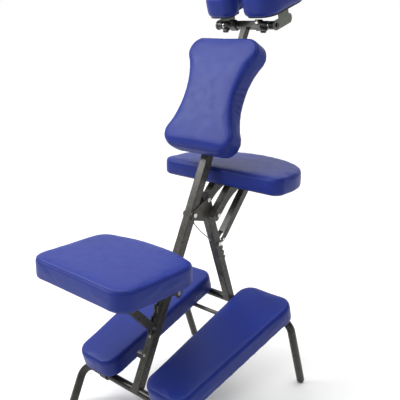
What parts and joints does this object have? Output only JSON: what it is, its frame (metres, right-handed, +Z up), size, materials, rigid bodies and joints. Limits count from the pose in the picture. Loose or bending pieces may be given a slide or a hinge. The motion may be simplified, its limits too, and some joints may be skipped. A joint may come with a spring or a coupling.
{
  "type": "kneeling massage chair",
  "caption": "Portable kneeling massage chair: sloping post on tubular legs, seat, knee pads, armrest, waisted chest pad and tilting face cradle.",
  "frame": {"origin": "on the floor under the middle of the bounding box", "axes": "+Z up, +Y the way the sitter faces, +X the sitter's right"},
  "size_m": [0.5694, 0.9666, 1.4351],
  "materials": {
    "vinyl": "satin",
    "board": "matte",
    "frame_paint": "satin",
    "cradle_paint": "satin",
    "rubber": "matte",
    "black_plastic": "matte",
    "zinc": "satin",
    "steel_cable": "satin"
  },
  "bodies": {
    "main_frame": {"rear_leg": "frame_paint", "rear_feet": "rubber", "main_post": "frame_paint", "fold_bolt": "zinc", "seat_axle": "zinc", "post_collar": "black_plastic", "seat_rack": "frame_paint", "post_screws": "zinc"},
    "front_frame": {"front_leg": "frame_paint", "front_feet": "rubber", "front_post": "frame_paint", "front_post_cap": "black_plastic", "hinge_plate_left": "frame_paint", "hinge_plate_right": "frame_paint", "front_post_bolts": "zinc", "armrest_axle": "zinc", "armrest_rack": "frame_paint", "safety_cable": "steel_cable"},
    "knee_frame": {"knee_pad_left": "vinyl", "knee_pad_right": "vinyl", "knee_board_left": "board", "knee_board_right": "board", "knee_hinge_left": "frame_paint", "knee_hinge_right": "frame_paint", "knee_cross_rod": "frame_paint"},
    "seat": {"seat_pad": "vinyl", "seat_board": "board", "seat_arm_left": "frame_paint", "seat_arm_right": "frame_paint", "seat_strut_bracket": "frame_paint", "seat_strut_bolt": "zinc"},
    "seat_prop": {"seat_strut": "frame_paint", "seat_strut_pin": "zinc"},
    "armrest": {"armrest_pad": "vinyl", "armrest_board": "board", "armrest_arm_left": "frame_paint", "armrest_arm_right": "frame_paint", "armrest_strut_bracket": "frame_paint", "armrest_strut_bolt": "zinc"},
    "armrest_prop": {"armrest_strut": "frame_paint", "armrest_strut_pin": "zinc"},
    "chest_rest": {"chest_pad": "vinyl", "chest_board": "board", "chest_carriage": "frame_paint"},
    "chest_clamp": {"chest_knob": "black_plastic"},
    "cradle_mast": {"mast": "frame_paint", "cradle_crossbar": "frame_paint", "cradle_clamp_left": "black_plastic", "cradle_clamp_right": "black_plastic", "cradle_hardware": "zinc", "cradle_spacers": "black_plastic"},
    "mast_clamp": {"mast_knob": "black_plastic"},
    "left_cam": {"cam_lever_left": "black_plastic"},
    "right_cam": {"cam_lever_right": "black_plastic"},
    "face_cradle": {"cradle_arm_left": "cradle_paint", "cradle_arm_right": "cradle_paint", "cradle_board": "board", "face_cushion": "vinyl"},
    "leg_clamp": {"side_knob": "black_plastic"}
  },
  "joints": [
    {"name": "frame_fold", "type": "hinge", "parent": "main_frame", "child": "front_frame", "pos_m": [0, 0.00274, 0.67464], "axis": [1, 0, 0], "range_deg": [-38, 0], "deforming": ["safety_cable"]},
    {"name": "knee_frame_fold", "type": "hinge", "parent": "main_frame", "child": "knee_frame", "pos_m": [0, -0.25472, 0.143], "axis": [1, 0, 0], "range_deg": [0, 41.8]},
    {"name": "seat_tilt", "type": "hinge", "parent": "main_frame", "child": "seat", "pos_m": [0, -0.1074, 0.44721], "axis": [1, 0, 0], "range_deg": [-18, 0]},
    {"name": "seat_strut_swing", "type": "hinge", "parent": "seat", "child": "seat_prop", "pos_m": [0, -0.36468, 0.54032], "axis": [1, 0, 0], "range_deg": [0, 9]},
    {"name": "armrest_tilt", "type": "hinge", "parent": "front_frame", "child": "armrest", "pos_m": [0, 0.09065, 0.65866], "axis": [1, 0, 0], "range_deg": [-12.4, 0]},
    {"name": "armrest_strut_swing", "type": "hinge", "parent": "armrest", "child": "armrest_prop", "pos_m": [0, 0.33365, 0.74196], "axis": [1, 0, 0], "range_deg": [0, 16.12]},
    {"name": "chest_slide", "type": "slide", "parent": "main_frame", "child": "chest_rest", "axis": [0, 0.4359, 0.9], "range_m": [-0.15, 0]},
    {"name": "chest_knob_turn", "type": "hinge", "parent": "chest_rest", "child": "chest_clamp", "pos_m": [0, 0.19942, 1.01194], "axis": [0, 0.9, -0.4359], "range_deg": [0, 360]},
    {"name": "mast_slide", "type": "slide", "parent": "main_frame", "child": "cradle_mast", "axis": [0, 0.4359, 0.9], "range_m": [-0.02, 0.12]},
    {"name": "mast_knob_turn", "type": "hinge", "parent": "main_frame", "child": "mast_clamp", "pos_m": [0, 0.2648, 1.14694], "axis": [0, 0.9, -0.4359], "range_deg": [0, 360]},
    {"name": "cam_lever_left_turn", "type": "hinge", "parent": "cradle_mast", "child": "left_cam", "pos_m": [0, 0.28879, 1.26532], "axis": [1, 0, 0], "range_deg": [0, 90]},
    {"name": "cam_lever_right_turn", "type": "hinge", "parent": "cradle_mast", "child": "right_cam", "pos_m": [0, 0.28879, 1.26532], "axis": [1, 0, 0], "range_deg": [0, 90]},
    {"name": "cradle_tilt", "type": "hinge", "parent": "cradle_mast", "child": "face_cradle", "pos_m": [0, 0.28879, 1.26532], "axis": [1, 0, 0], "range_deg": [-25, 20]},
    {"name": "side_knob_turn", "type": "hinge", "parent": "main_frame", "child": "leg_clamp", "pos_m": [0, -0.20678, 0.242], "axis": [1, 0, 0], "range_deg": [0, 360]}
  ],
  "couplings": [
    {"joint": "knee_frame_fold", "follows": "frame_fold", "ratio": -1.1},
    {"joint": "seat_strut_swing", "follows": "seat_tilt", "ratio": -0.5},
    {"joint": "armrest_strut_swing", "follows": "armrest_tilt", "ratio": -1.3}
  ]
}
